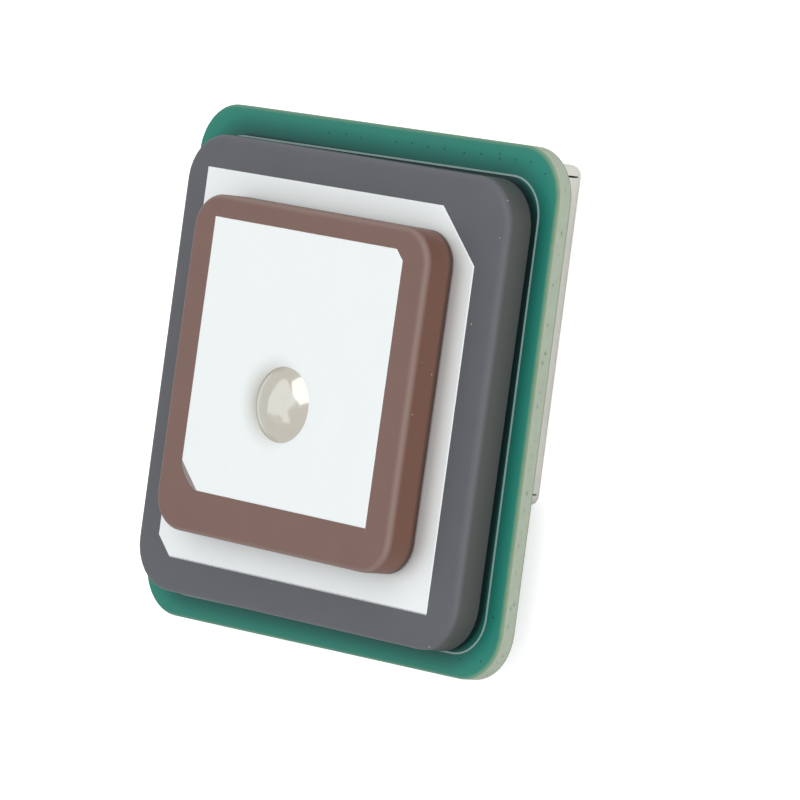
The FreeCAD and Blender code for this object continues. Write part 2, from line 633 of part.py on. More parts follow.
# Voltage regulator: a small moulded body on bent leads, three on one side and two on the other.
regulator = moulded_block("voltage_regulator", "regulator", REGULATOR_X, REGULATOR_Y)
LEAD_LEVEL = "(sheet.regulator_height / 2)"
for side, count, spread in ((-1, "3", 1), (1, "2", 2)):
    lead_sketch = new_sketch(regulator, f"lead_{count}", "YZ_Plane", "-sheet.lead_pitch")
    at_body = f"{side} * sheet.regulator_width / 2"
    bend_in = f"{side} * (sheet.regulator_width / 2 + (sheet.lead_reach - sheet.lead_thickness) / 2)"
    bend_out = f"{side} * (sheet.regulator_width / 2 + (sheet.lead_reach + sheet.lead_thickness) / 2)"
    toe = f"{side} * (sheet.regulator_width / 2 + sheet.lead_reach)"
    draw_polygon(lead_sketch, [
        (at_body, LEAD_LEVEL), (bend_out, LEAD_LEVEL),
        (bend_out, "sheet.regulator_height - sheet.lead_thickness"),
        (toe, "sheet.regulator_height - sheet.lead_thickness"), (toe, "sheet.regulator_height"),
        (bend_in, "sheet.regulator_height"), (bend_in, f"{LEAD_LEVEL} + sheet.lead_thickness"),
        (at_body, f"{LEAD_LEVEL} + sheet.lead_thickness")])
    lead = pad(regulator, lead_sketch, "sheet.lead_width", both_ways=True)
    repeat(regulator, lead, "X_Axis", f"{spread} * sheet.lead_pitch", count)


def lidded_package(label, size, x, y):
    """A ceramic base with a smaller seam-welded lid on its free face."""
    body = new_body(label, x, y, f"{BOARD_BACK} - sheet.{size}_height")
    base_sketch = new_sketch(body, "base", height="sheet.lid_height")
    draw_centred_rectangle(base_sketch, f"sheet.{size}_length", f"sheet.{size}_width")
    pad(body, base_sketch, f"sheet.{size}_height - sheet.lid_height")
    lid_sketch = new_sketch(body, "lid")
    draw_centred_rectangle(lid_sketch, f"(sheet.{size}_length - 2 * sheet.lid_inset)",
                           f"(sheet.{size}_width - 2 * sheet.lid_inset)")
    pad(body, lid_sketch, "sheet.lid_height")


# Reference oscillator and clock crystal, in a line beside the receiver.
lidded_package("reference_oscillator", "oscillator", OSCILLATOR_X, RECEIVER_Y)
lidded_package("clock_crystal", "crystal", CRYSTAL_X, RECEIVER_Y)


def repeat_blocks(label, size, x, axis, backwards=False):
    """A row of equal moulded blocks level with the feed, a gap apart."""
    body = new_body(label, x, "sheet.feed_y", f"{BOARD_BACK} - sheet.{size}_height")
    sketch = new_sketch(body, "plan")
    draw_centred_rectangle(sketch, f"sheet.{size}_length", f"sheet.{size}_width")
    block = pad(body, sketch, f"sheet.{size}_height")
    side = "length" if axis == "X_Axis" else "width"
    repeat(body, block, axis, f"sheet.{size}_{side} + sheet.part_gap", f"sheet.{size}_count", backwards)


# Input filters and low-noise amplifiers, in the order that the signal passes them.
repeat_blocks("input_filters", "filter", FILTER_X, "X_Axis", backwards=True)
repeat_blocks("low_noise_amplifiers", "amplifier", AMPLIFIER_X, "Y_Axis")


def chip_row(label, size, x, y, backwards):
    """A row of two-terminal chips whose plated ends stand a little proud of the body."""
    body = new_body(label, x, y, f"{BOARD_BACK} - sheet.{size}_height")
    sketch = new_sketch(body, "outline", "YZ_Plane")
    half = f"sheet.{size}_length / 2"
    shoulder = f"({half} - sheet.terminal_length)"
    low = "sheet.terminal_proud"
    high = f"sheet.{size}_height"
    draw_polygon(sketch, [
        (f"-{half}", "0"), (f"-{shoulder}", "0"), (f"-{shoulder}", low), (shoulder, low),
        (shoulder, "0"), (half, "0"), (half, high), (f"-{half}", high)])
    chip = pad(body, sketch, f"sheet.{size}_width", both_ways=True)
    repeat(body, chip, "X_Axis", f"sheet.{size}_pitch", f"sheet.{size}_count", backwards)


# Two-terminal chips: two rows below the oscillator, and the matching coils beside the feed.
chip_row("chip_capacitors", "capacitor", OSCILLATOR_X, CAPACITOR_Y, backwards=True)
chip_row("chip_resistors", "resistor", OSCILLATOR_X, RESISTOR_Y, backwards=True)
chip_row("chip_inductors", "inductor", INDUCTOR_X, "sheet.feed_y", backwards=False)

doc.recompute()
for item in doc.Objects:
    if "Invalid" in item.State or "Error" in item.State:
        raise RuntimeError(f"{item.Label} did not build: {item.State}")
for part in sub_parts:
    if part.Shape.isNull() or not part.Shape.isValid():
        raise RuntimeError(f"{part.Label} has no valid shape")

os.makedirs("parts", exist_ok=True)
for part in sub_parts:
    part.Shape.exportStep(f"parts/{part.Label}.step")
    solids = len(part.Shape.Solids)
    print(f"{part.Label}: {solids} solids, {part.Shape.Volume:.3f} mm3, {part.Shape.BoundBox}")
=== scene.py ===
import math

import bmesh
import bpy
from mathutils import Matrix, Vector, noise


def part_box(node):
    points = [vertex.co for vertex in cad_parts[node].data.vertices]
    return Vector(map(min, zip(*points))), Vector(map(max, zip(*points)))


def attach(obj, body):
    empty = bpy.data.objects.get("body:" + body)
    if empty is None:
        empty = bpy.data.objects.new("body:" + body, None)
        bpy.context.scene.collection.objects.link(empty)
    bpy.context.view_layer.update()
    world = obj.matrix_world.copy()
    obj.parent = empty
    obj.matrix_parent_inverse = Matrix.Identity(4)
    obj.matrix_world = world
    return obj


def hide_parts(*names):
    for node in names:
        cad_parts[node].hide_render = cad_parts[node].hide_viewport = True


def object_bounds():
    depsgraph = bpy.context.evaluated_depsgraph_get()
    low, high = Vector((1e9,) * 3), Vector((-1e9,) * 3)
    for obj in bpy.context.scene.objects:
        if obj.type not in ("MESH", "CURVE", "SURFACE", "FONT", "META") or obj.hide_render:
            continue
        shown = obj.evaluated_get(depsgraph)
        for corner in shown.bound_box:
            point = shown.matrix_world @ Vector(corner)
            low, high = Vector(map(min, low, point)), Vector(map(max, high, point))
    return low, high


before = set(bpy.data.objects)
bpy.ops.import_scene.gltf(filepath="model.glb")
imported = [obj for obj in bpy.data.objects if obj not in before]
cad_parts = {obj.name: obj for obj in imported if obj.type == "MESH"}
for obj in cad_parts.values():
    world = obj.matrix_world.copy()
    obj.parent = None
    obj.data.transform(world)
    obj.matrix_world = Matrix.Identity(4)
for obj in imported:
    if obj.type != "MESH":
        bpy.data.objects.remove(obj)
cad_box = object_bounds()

# A bare satellite positioning module. It lies with its shield can on the floor and its antenna
# face up, and the camera looks at it from the front right, with the board's upper edge up.


# ---- Circuit board ----
# Routed glass-epoxy laminate under green solder mask. The mask was printed a little to the left,
# so a thin margin at the right and the edge itself are bare laminate. Small vias tie the planes.
MM = 0.001


def linear(screen):
    """A screen colour such as 3E8577 as linear light with full opacity."""
    parts = [int(screen[place:place + 2], 16) / 255 for place in (0, 2, 4)]
    return [part / 12.92 if part <= 0.04045 else ((part + 0.055) / 1.055) ** 2.4
            for part in parts] + [1.0]


def add(tree, kind, sockets=(), **settings):
    """Add a node with its settings; each named socket gets a value or a link."""
    made = tree.nodes.new("ShaderNode" + kind)
    for name, value in settings.items():
        setattr(made, name, value)
    for name, value in dict(sockets).items():
        if isinstance(value, bpy.types.NodeSocket):
            tree.links.new(value, made.inputs[name])
        else:
            made.inputs[name].default_value = value
    return made


def new_material(name, **constants):
    """A principled material with constants on its own sockets; returns it, its tree and shader."""
    material = bpy.data.materials.new(name)
    material.use_nodes = True
    tree = material.node_tree
    shader = tree.nodes["Principled BSDF"]
    for socket, value in constants.items():
        shader.inputs[socket.replace("_", " ")].default_value = value
    return material, tree, shader


def millimetres(tree):
    """Object coordinates in millimetres."""
    place = add(tree, "TexCoord").outputs["Object"]
    return add(tree, "VectorMath", {0: place, "Scale": 1000.0}, operation="SCALE").outputs[0]


def sum_of(tree, operation, first, second=0.0, third=0.0):
    """The result of one arithmetic node."""
    return add(tree, "Math", {0: first, 1: second, 2: third}, operation=operation).outputs[0]


def grain(tree, place, per_mm, detail=2.0, roughness=0.5):
    """Fine noise, with its scale in features to the millimetre."""
    return add(tree, "TexNoise", {"Vector": place, "Scale": per_mm, "Detail": detail,
                                  "Roughness": roughness}).outputs["Fac"]


def blend(tree, share, first, second):
    """A colour between two, by a share from 0 to 1."""
    mixed = add(tree, "Mix", data_type="RGBA")
    for socket, value in ((0, share), (6, first), (7, second)):
        if isinstance(value, bpy.types.NodeSocket):
            tree.links.new(value, mixed.inputs[socket])
        else:
            mixed.inputs[socket].default_value = value
    return mixed.outputs[2]


def ramp(tree, value, low, high):
    """0 below low, 1 above high and an even slope between."""
    return add(tree, "MapRange", {"Value": value, "From Min": low, "From Max": high}).outputs["Result"]


def dress(material, *nodes):
    """Give CAD nodes a material in place of their own."""
    for name in nodes:
        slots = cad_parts[name].data.materials
        slots.clear()
        slots.append(material)


def roughen(tree, shader, height, strength, depth):
    """Drive the shader's normal by a height, with the depth in millimetres."""
    bump = add(tree, "Bump", {"Height": height, "Strength": strength, "Distance": depth * MM})
    tree.links.new(bump.outputs["Normal"], shader.inputs["Normal"])


def inset_from_edge(tree, place, half_x, half_y, corner):
    """How far a point lies inside a rectangle with rounded corners, in millimetres."""
    parts = add(tree, "SeparateXYZ", {0: place})
    over_x = sum_of(tree, "SUBTRACT", sum_of(tree, "ABSOLUTE", parts.outputs[0]), half_x - corner)
    over_y = sum_of(tree, "SUBTRACT", sum_of(tree, "ABSOLUTE", parts.outputs[1]), half_y - corner)
    past = add(tree, "CombineXYZ", {0: sum_of(tree, "MAXIMUM", over_x, 0.0),
                                    1: sum_of(tree, "MAXIMUM", over_y, 0.0)})
    reach = add(tree, "VectorMath", {0: past.outputs[0]}, operation="LENGTH").outputs["Value"]
    inner = sum_of(tree, "MINIMUM", sum_of(tree, "MAXIMUM", over_x, over_y), 0.0)
    return sum_of(tree, "SUBTRACT", corner, sum_of(tree, "ADD", reach, inner))


def dots(tree, place, centres, radius):
    """1 inside any of the round dots, 0 outside."""
    flat = add(tree, "VectorMath", {0: place, 1: (1.0, 1.0, 0.0)}, operation="MULTIPLY").outputs[0]
    total = None
    for centre in centres:
        gap = add(tree, "VectorMath", {0: flat, 1: (*centre, 0.0)}, operation="DISTANCE")
        spot = ramp(tree, gap.outputs["Value"], radius * 1.25, radius * 0.75)
        total = spot if total is None else sum_of(tree, "MAXIMUM", total, spot)
    return total


board_low, board_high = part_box("main_board")
board_half_x = (board_high[0] - board_low[0]) / 2 / MM
board_half_y = (board_high[1] - board_low[1]) / 2 / MM
board_back = board_low[2] / MM
BOARD_CORNER = 2.75
BOARD_THICKNESS = 0.8
MASK_SHIFT = (-0.2, -0.02, 0.0)
MASK_MARGIN = 0.02
MASK_FADE = 0.16
BUNDLES_PER_MM = 0.95
VIA_RADIUS = 0.055
# Where the lower tile lies on the board.
TILE_MIDDLE = (-0.14, -0.11, 0.0)
TILE_HALF = 12.5
TILE_CORNER = 2.6
LOWER_TURN = math.radians(-0.56)
# Vias of the upper margin, then those of the corners and the right margin.
front_vias = [(-3.94, 13.12), (-2.61, 13.18), (-1.45, 13.1), (1.24, 13.14), (2.47, 13.2),
              (3.71, 13.12), (4.92, 13.15), (6.42, 13.08), (7.7, 13.17), (9.09, 13.05),
              (9.07, 13.32), (10.23, 13.12), (11.35, 13.1), (12.52, 12.61), (12.93, -10.46),
              (10.93, -12.94), (12.47, -12.81)]

# Solder mask over laminate: satin green, with the bare margin and edge as one finish.
mask, tree, shader = new_material("green_solder_mask_on_laminate", IOR=1.5, Specular_IOR_Level=0.3)
spot = millimetres(tree)
parts = add(tree, "SeparateXYZ", {0: spot})
facing = add(tree, "SeparateXYZ", {0: add(tree, "NewGeometry").outputs["Normal"]}).outputs[2]
on_face = sum_of(tree, "GREATER_THAN", sum_of(tree, "ABSOLUTE", facing), 0.5)
on_front = sum_of(tree, "GREATER_THAN", facing, 0.5)
waver = grain(tree, spot, 1.3)
inset = inset_from_edge(tree, spot, board_half_x, board_half_y, BOARD_CORNER)
printed = add(tree, "VectorMath", {0: spot, 1: MASK_SHIFT}, operation="SUBTRACT").outputs[0]
mask_inset = inset_from_edge(tree, printed, board_half_x, board_half_y, BOARD_CORNER)
ragged_inset = sum_of(tree, "ADD", mask_inset, sum_of(tree, "MULTIPLY_ADD", waver, 0.06, -0.03))
masked = ramp(tree, ragged_inset, MASK_MARGIN - MASK_FADE, MASK_MARGIN + MASK_FADE)
via_spots = sum_of(tree, "MULTIPLY", dots(tree, spot, front_vias, VIA_RADIUS), on_front)
green = blend(tree, grain(tree, spot, 0.35), linear("147A6D"), linear("198173"))
# Painted light: the mask is lighter within about a millimetre of the board's edge, away from the tile's
# shade.
green = blend(tree, ramp(tree, inset, 1.1, 0.2), green, linear("2A8372"))
# Little light reaches the mask beside the tile and almost none reaches it underneath.
tile_spot = add(tree, "Mapping", {"Vector": spot, "Location": TILE_MIDDLE,
                                  "Rotation": (0.0, 0.0, LOWER_TURN)},
                vector_type="TEXTURE").outputs[0]
under = inset_from_edge(tree, tile_spot, TILE_HALF, TILE_HALF, TILE_CORNER)
green = blend(tree, ramp(tree, under, -1.1, 0.1), green, linear("1A5A52"))
green = blend(tree, ramp(tree, under, -0.03, 0.1), green, linear("1F3A3C"))
green = blend(tree, via_spots, green, linear("143F3A"))
rise = sum_of(tree, "SUBTRACT", parts.outputs[2], board_back)
glass = blend(tree, grain(tree, spot, 2.2, 4.0), linear("A0AB9A"), linear("B1BAAB"))
# Cut ends of the glass bundles: small dark specks half way up the edge, unevenly spaced.
along_edge = sum_of(tree, "ADD", parts.outputs[0], parts.outputs[1])
bundle = add(tree, "TexVoronoi", {"W": along_edge, "Scale": BUNDLES_PER_MM},
             voronoi_dimensions="1D")
bundle_dice = add(tree, "SeparateXYZ", {0: bundle.outputs["Color"]})
bundle_level = sum_of(tree, "MULTIPLY_ADD", bundle_dice.outputs[0], 0.24, BOARD_THICKNESS / 2 - 0.08)
aside = sum_of(tree, "DIVIDE", bundle.outputs["Distance"], BUNDLES_PER_MM)
above = sum_of(tree, "ABSOLUTE", sum_of(tree, "SUBTRACT", rise, bundle_level))
bundle_gap = sum_of(tree, "ADD", sum_of(tree, "MULTIPLY", aside, 0.7), above)
bundle_seen = sum_of(tree, "MULTIPLY_ADD", bundle_dice.outputs[1], 0.8, 0.1)
speck = sum_of(tree, "MULTIPLY", ramp(tree, bundle_gap, 0.15, 0.03), bundle_seen)
glass = blend(tree, speck, glass, linear("788672"))
# The edge is a darker sage along its lowest strip, at the board's back.
glass = blend(tree, ramp(tree, rise, 0.09, 0.02), glass, linear("84947F"))
margin = blend(tree, grain(tree, spot, 2.5), linear("879F84"), linear("98AC8C"))
surface = blend(tree, masked, margin, green)
surface = blend(tree, on_face, glass, surface)
tree.links.new(surface, shader.inputs["Base Color"])
gloss = sum_of(tree, "MULTIPLY", masked, on_face)
tree.links.new(sum_of(tree, "MULTIPLY_ADD", gloss, -0.3, 0.72), shader.inputs["Roughness"])
relief = sum_of(tree, "MULTIPLY_ADD", via_spots, -1.0, grain(tree, spot, 5.0, 3.0))
roughen(tree, shader, relief, 0.25, 0.02)
dress(mask, "main_board")


# ---- Printed outline ----
# A closed line of white ink, screen printed on the mask where the antenna is to be stuck. It is
# thin enough for a little green to show through.
# Screen ink: matt, and thin enough to look grey-green where it is laid on the mask; its colour is also
# painted darker for the shade of the tile beside it.
ink, tree, shader = new_material("white_screen_ink", Roughness=0.6)
spot = millimetres(tree)
ink_colour = blend(tree, grain(tree, spot, 6.0, 3.0), linear("86A39F"), linear("98B1AD"))
tree.links.new(ink_colour, shader.inputs["Base Color"])
roughen(tree, shader, grain(tree, spot, 14.0), 0.2, 0.01)
dress(ink, "outline_print")


# ---- Foam tape ----
# Dark double-sided foam tape between board and lower tile, die cut a little smaller than the tile.
# Its cut edge is slightly hollow under the tile's weight.
FEED = Vector((-0.49, -1.31, 0.0))
TAPE_SIDE = 23.5
TAPE_CORNER = 1.6
TAPE_HOLE = 1.5
LOWER_OFFSET = Vector((0.35, 1.2))
# Beyond this narrow band inside its edge a sheet's face is dead flat.
FLAT_INSET = 0.05


def rounded_outline(side, corner, centre, step=0.5, steps_round=8):
    """Points round a square with rounded corners, in millimetres, anticlockwise."""
    half = side / 2
    points = []
    for turn in range(4):
        middle = Vector((half - corner, half - corner))
        arc = [middle + corner * Vector((math.cos(angle), math.sin(angle)))
               for angle in (math.pi / 2 * index / steps_round for index in range(steps_round + 1))]
        run = max(1, round((side - 2 * corner) / step))
        straight = [Vector((half - corner - (side - 2 * corner) * index / run, half))
                    for index in range(1, run)]
        spin = Matrix.Rotation(math.pi / 2 * turn, 2)
        points += [centre + spin @ point for point in arc + straight]
    return points


def shift_outline(points, inward):
    """The outline moved inwards by a distance in millimetres."""
    count = len(points)
    moved = []
    for index, point in enumerate(points):
        along = points[(index + 1) % count] - points[index - 1]
        normal = Vector((-along.y, along.x)).normalized()
        moved.append(point + inward * normal)
    return moved


def kept_mesh(name, mesh):
    """The finished mesh as mesh data under a name."""
    data = bpy.data.meshes.new(name)
    mesh.to_mesh(data)
    mesh.free()
    return data


def sheet_mesh(name, levels, hole=0.0):
    """A closed slab from outlines at rising heights; hole is the radius of one at the origin."""
    mesh = bmesh.new()
    if hole:
        base, base_line = levels[0]
        face, face_line = levels[-1]
        rim = [point.normalized() * hole for point in base_line]
        levels = levels + [(face, shift_outline(face_line, FLAT_INSET)), (face, rim), (base, rim),
                           (base, shift_outline(base_line, FLAT_INSET))]
    rings = [[mesh.verts.new((point.x * MM, point.y * MM, height * MM)) for point in points]
             for height, points in levels]
    pairs = list(zip(rings, rings[1:]))
    if hole:
        pairs.append((rings[-1], rings[0]))
    else:
        mesh.faces.new(rings[0][::-1])
        mesh.faces.new(rings[-1])
    for below, above in pairs:
        for index in range(len(below)):
            mesh.faces.new((below[index - 1], below[index], above[index], above[index - 1]))
    bmesh.ops.recalc_face_normals(mesh, faces=mesh.faces)
    return kept_mesh(name, mesh)


def place_piece(name, data, material, place=(0.0, 0.0, 0.0), turn=0.0, smooth_angle=35.0):
    """Put a mesh in the scene at a place in millimetres, turned about Z."""
    piece = bpy.data.objects.new(name, data)
    bpy.context.scene.collection.objects.link(piece)
    piece.location = Vector(place) * MM
    piece.rotation_euler.z = turn
    data.materials.append(material)
    data.shade_smooth()
    data.set_sharp_from_angle(angle=math.radians(smooth_angle))
    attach(piece, "root")
    return piece


# Closed-cell foam: matt, nearly black, with the cut cells as small pits.
foam, tree, shader = new_material("dark_foam_tape", Roughness=0.9)
spot = millimetres(tree)
foam_colour = blend(tree, grain(tree, spot, 9.0, 3.0), linear("1E2122"), linear("2B2E2F"))
tree.links.new(foam_colour, shader.inputs["Base Color"])
pores = add(tree, "TexVoronoi", {"Vector": spot, "Scale": 8.0}).outputs["Distance"]
roughen(tree, shader, pores, 0.5, 0.05)

tape_low, tape_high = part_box("board_tape")
tape_height = (tape_high[2] - tape_low[2]) / MM
tape_edge = rounded_outline(TAPE_SIDE, TAPE_CORNER, LOWER_OFFSET)
tape_levels = [(0.0, tape_edge), (tape_height * 0.12, tape_edge),
               (tape_height * 0.3, shift_outline(tape_edge, 0.05)),
               (tape_height * 0.5, shift_outline(tape_edge, 0.07)),
               (tape_height * 0.7, shift_outline(tape_edge, 0.05)),
               (tape_height * 0.88, tape_edge), (tape_height, tape_edge)]
tape = place_piece("foam_tape", sheet_mesh("foam_tape", tape_levels, TAPE_HOLE), foam,
                   (FEED.x, FEED.y, tape_low[2] / MM), LOWER_TURN)
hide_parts("board_tape")


# ---- Lower tile ----
# Pressed and fired grey ceramic, 25 mm square, unglazed and very fine grained, with a few pale
# grains. It shrank a little unevenly in firing: it is shorter one way and its right wall leans in.
def fired_ceramic(name, dark, light, edge, side, levels, edge_drop):
    """Unglazed ceramic: fine grain, faint clouds, pale grains; painted highlight on the face edge,
    painted shade on the sides and foot.
    """
    shade_foot, tile_top = levels
    material, tree, shader = new_material(name, Roughness=0.5, IOR=1.5)
    spot = millimetres(tree)
    body = blend(tree, grain(tree, spot, 0.5, 3.0), linear(dark), linear(light))
    fine = ramp(tree, grain(tree, spot, 16.0, 2.0, 0.6), 0.3, 0.7)
    body = blend(tree, sum_of(tree, "MULTIPLY", fine, 0.22), body, linear(dark))
    height = add(tree, "SeparateXYZ", {0: spot}).outputs[2]
    upright = add(tree, "SeparateXYZ", {0: add(tree, "NewGeometry").outputs["Normal"]}).outputs[2]
    # Painted shade: the upright sides take the darker side colour.
    body = blend(tree, ramp(tree, upright, 0.9, 0.35), body, linear(side))
    # Painted shade: the lowest part of the sides is darkened towards the foot.
    foot = ramp(tree, height, shade_foot + 0.4, shade_foot + 0.2)
    body = blend(tree, sum_of(tree, "MULTIPLY", foot, 0.62), body, linear("1C1817"))
    # Painted highlight: a lighter colour along the rounded face edge.
    upper = ramp(tree, height, tile_top - edge_drop * 1.3, tile_top - edge_drop * 0.6)
    lower = ramp(tree, height, tile_top - 0.002, tile_top - edge_drop * 0.3)
    edge_highlight = sum_of(tree, "MULTIPLY", upper, lower)
    body = blend(tree, sum_of(tree, "MULTIPLY", edge_highlight, 0.6), body, linear(edge))
    cells = add(tree, "TexVoronoi", {"Vector": spot, "Scale": 0.9})
    cell_dice = add(tree, "SeparateXYZ", {0: cells.outputs["Color"]}).outputs[0]
    chosen = sum_of(tree, "GREATER_THAN", cell_dice, 0.86)
    pale = sum_of(tree, "MULTIPLY", ramp(tree, cells.outputs["Distance"], 0.05, 0.02), chosen)
    body = blend(tree, pale, body, linear("B9BBBE"))
    tree.links.new(body, shader.inputs["Base Color"])
    roughen(tree, shader, grain(tree, spot, 22.0, 3.0, 0.65), 0.18, 0.02)
    return material


TILE_SIDE = 24.98
TILE_EDGE = 0.36
TILE_FOOT_EDGE = 0.06
TILE_LEAN = 0.16
TILE_SHRINK = 0.2
TILE_HOLE = 0.6
# The painted shade at the tile's foot is reckoned from below the foot, because light reaches under it
# over the tape.
TILE_SHADE_FOOT = -0.3
tile_low, tile_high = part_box("lower_ceramic")
tile_height = (tile_high[2] - tile_low[2]) / MM
grey_ceramic = fired_ceramic("grey_fired_ceramic", "55575D", "5C5E64", "5F6168", "4D4E4D",
                             (TILE_SHADE_FOOT, tile_height), TILE_EDGE)
tile_plan = rounded_outline(TILE_SIDE, TILE_CORNER, LOWER_OFFSET)
tile_left = min(point.x for point in tile_plan)
tile_bottom = min(point.y for point in tile_plan)
tile_line = [Vector((point.x, point.y - TILE_SHRINK * (point.y - tile_bottom) / TILE_SIDE))
             for point in tile_plan]
tile_face = [Vector((point.x - TILE_LEAN * (point.x - tile_left) / TILE_SIDE, point.y))
             for point in tile_line]
tile_levels = []
for step in range(4):
    angle = math.pi / 6 * step
    tile_levels.append((TILE_FOOT_EDGE * (1.0 - math.cos(angle)),
                        shift_outline(tile_line, TILE_FOOT_EDGE * (1.0 - math.sin(angle)))))
for step in range(8):
    angle = math.pi / 14 * step
    tile_levels.append((tile_height - TILE_EDGE * (1.0 - math.sin(angle)),
                        shift_outline(tile_face, TILE_EDGE * (1.0 - math.cos(angle)))))
lower_tile = place_piece("lower_tile", sheet_mesh("lower_tile", tile_levels, TILE_HOLE),
                         grey_ceramic, (FEED.x, FEED.y, tile_low[2] / MM), LOWER_TURN)
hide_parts("lower_ceramic")


# ---- Silver face of the lower tile ----
# Silver paste, screen printed and fired to a matt near-white face. Two opposite corners are
# trimmed to tune it, and the paste thins to a narrow grey fringe along its lower edge.
LOWER_SILVER_SIDE = 21.12
LOWER_SILVER_SHIFT = Vector((-0.24, -0.09))
LOWER_TRIM = 2.85
LOWER_SMALL_TRIM = 1.09
LOWER_SILVER_HOLE = 1.2
# Middle, half sizes and corner of the painted shade round the upper tile, from the feed.
SHADE_MIDDLE = (0.86, 1.31, 0.0)
SHADE_HALF_X = 9.05
SHADE_HALF_Y = 8.7
SHADE_CORNER = 1.9


def trimmed_square(side, middle, trims, step=0.12):
    """Points round a square with some corners cut off, walked in short steps."""
    half = side / 2
    corners = []
    for sign_x, sign_y in ((-1, -1), (1, -1), (1, 1), (-1, 1)):
        corner = middle + half * Vector((sign_x, sign_y))
        trim = trims.get((sign_x, sign_y))
        if trim is None:
            corners.append(corner)
            continue
        along_x = corner - Vector((sign_x * trim, 0.0))
        along_y = corner - Vector((0.0, sign_y * trim))
        corners += [along_y, along_x] if sign_x * sign_y > 0 else [along_x, along_y]
    points = []
    for index, corner in enumerate(corners):
        after = corners[(index + 1) % len(corners)]
        count = max(2, round((after - corner).length / step))
        points += [corner.lerp(after, part / count) for part in range(count)]
    return points


def ragged(points, reach, seed):
    """The outline with its paste edge wandering by up to reach millimetres."""
    moved = []
    for index, point in enumerate(points):
        along = points[(index + 1) % len(points)] - points[index - 1]
        normal = Vector((-along.y, along.x)).normalized()
        place = Vector((point.x * 1.7, point.y * 1.7, seed))
        moved.append(point + normal * (reach * (0.6 + 0.5 * noise.noise(place)
                                                + 0.3 * noise.noise(place * 4.0))))
    return moved


def fired_silver(name, fringe_line, fringe_depth, painted_shade):
    """Fired silver: matt, near white, greyer below fringe_line, and greyer again where painted_shade
    gives a share of painted shade.
    """
    material, tree, shader = new_material(name, Metallic=0.2, Roughness=0.5)
    spot = millimetres(tree)
    face = blend(tree, grain(tree, spot, 0.4), linear("EFF4F5"), linear("F2F6F7"))
    fine = ramp(tree, grain(tree, spot, 12.0, 3.0), 0.45, 0.8)
    face = blend(tree, sum_of(tree, "MULTIPLY", fine, 0.5), face, linear("E9EFF1"))
    share, shade_colour = painted_shade(tree, spot)
    # Painted shade: the silver is greyed where the given share is high.
    face = blend(tree, sum_of(tree, "POWER", share, 1.6), face, linear(shade_colour))
    low = add(tree, "SeparateXYZ", {0: spot}).outputs[1]
    broken = sum_of(tree, "MULTIPLY_ADD", grain(tree, spot, 5.0, 4.0, 0.7), fringe_depth * 0.8,
                    -fringe_depth * 0.4)
    thin = ramp(tree, sum_of(tree, "ADD", low, broken), fringe_line + fringe_depth, fringe_line)
    face = blend(tree, thin, face, linear("8D9094"))
    tree.links.new(face, shader.inputs["Base Color"])
    roughen(tree, shader, grain(tree, spot, 9.0, 3.0), 0.05, 0.01)
    return material


def shade_beside_tile(tree, spot):
    """Painted shade on the silver, greyer up to a millimetre beside the upper tile."""
    aside = add(tree, "VectorMath", {0: spot, 1: SHADE_MIDDLE}, operation="SUBTRACT").outputs[0]
    shade_inset = inset_from_edge(tree, aside, SHADE_HALF_X, SHADE_HALF_Y, SHADE_CORNER)
    return ramp(tree, shade_inset, -0.75, 0.4), "CBCBCB"


silver_low, silver_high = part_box("lower_electrode")
silver_height = (silver_high[2] - silver_low[2]) / MM
silver_middle = LOWER_OFFSET + LOWER_SILVER_SHIFT
silver_line = trimmed_square(LOWER_SILVER_SIDE, silver_middle,
                             {(1, 1): LOWER_TRIM, (-1, -1): LOWER_SMALL_TRIM})
silver_edge = ragged(silver_line, 0.008, 3.1)
lower_face = sheet_mesh("lower_silver_face", [
    (0.0, silver_edge), (silver_height * 0.6, shift_outline(silver_edge, 0.01)),
    (silver_height, shift_outline(silver_edge, 0.04))], LOWER_SILVER_HOLE)
lower_silver = fired_silver("fired_silver_paste_lower",
                            silver_middle.y - LOWER_SILVER_SIDE / 2 + 0.02, 0.11,
                            shade_beside_tile)
silver_piece = place_piece("lower_silver_face", lower_face, lower_silver,
                           (FEED.x, FEED.y, silver_low[2] / MM), LOWER_TURN, 50.0)
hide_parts("lower_electrode")


# ---- Tape between the tiles ----
# A thin sheet of clear double-sided tape that holds the upper tile on the lower one's silver. It
# is die cut a little smaller than the upper tile and punched for the feed pin.
UPPER_TURN = math.radians(-0.83)
UPPER_OFFSET = Vector((0.16, 1.31))
THIN_TAPE_SIDE = 16.95
THIN_TAPE_CORNER = 1.2
THIN_TAPE_HOLE = 1.2
# Adhesive film: smooth and clear, so that it takes the pale tone of the silver under it.
clear_tape, tree, shader = new_material("clear_adhesive_tape", Roughness=0.35)
spot = millimetres(tree)
tape_colour = blend(tree, grain(tree, spot, 1.0, 3.0), linear("C9C7BE"), linear("D6D4CC"))
tree.links.new(tape_colour, shader.inputs["Base Color"])
roughen(tree, shader, grain(tree, spot, 6.0), 0.1, 0.01)
thin_low, thin_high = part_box("middle_tape")
thin_height = (thin_high[2] - thin_low[2]) / MM
thin_edge = rounded_outline(THIN_TAPE_SIDE, THIN_TAPE_CORNER, UPPER_OFFSET)
thin_mesh = sheet_mesh("tile_tape", [
    (0.0, thin_edge), (thin_height / 2, shift_outline(thin_edge, 0.02)), (thin_height, thin_edge)],
    THIN_TAPE_HOLE)
thin_tape = place_piece("tile_tape", thin_mesh, clear_tape,
                        (FEED.x, FEED.y, thin_low[2] / MM), UPPER_TURN)
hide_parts("middle_tape")


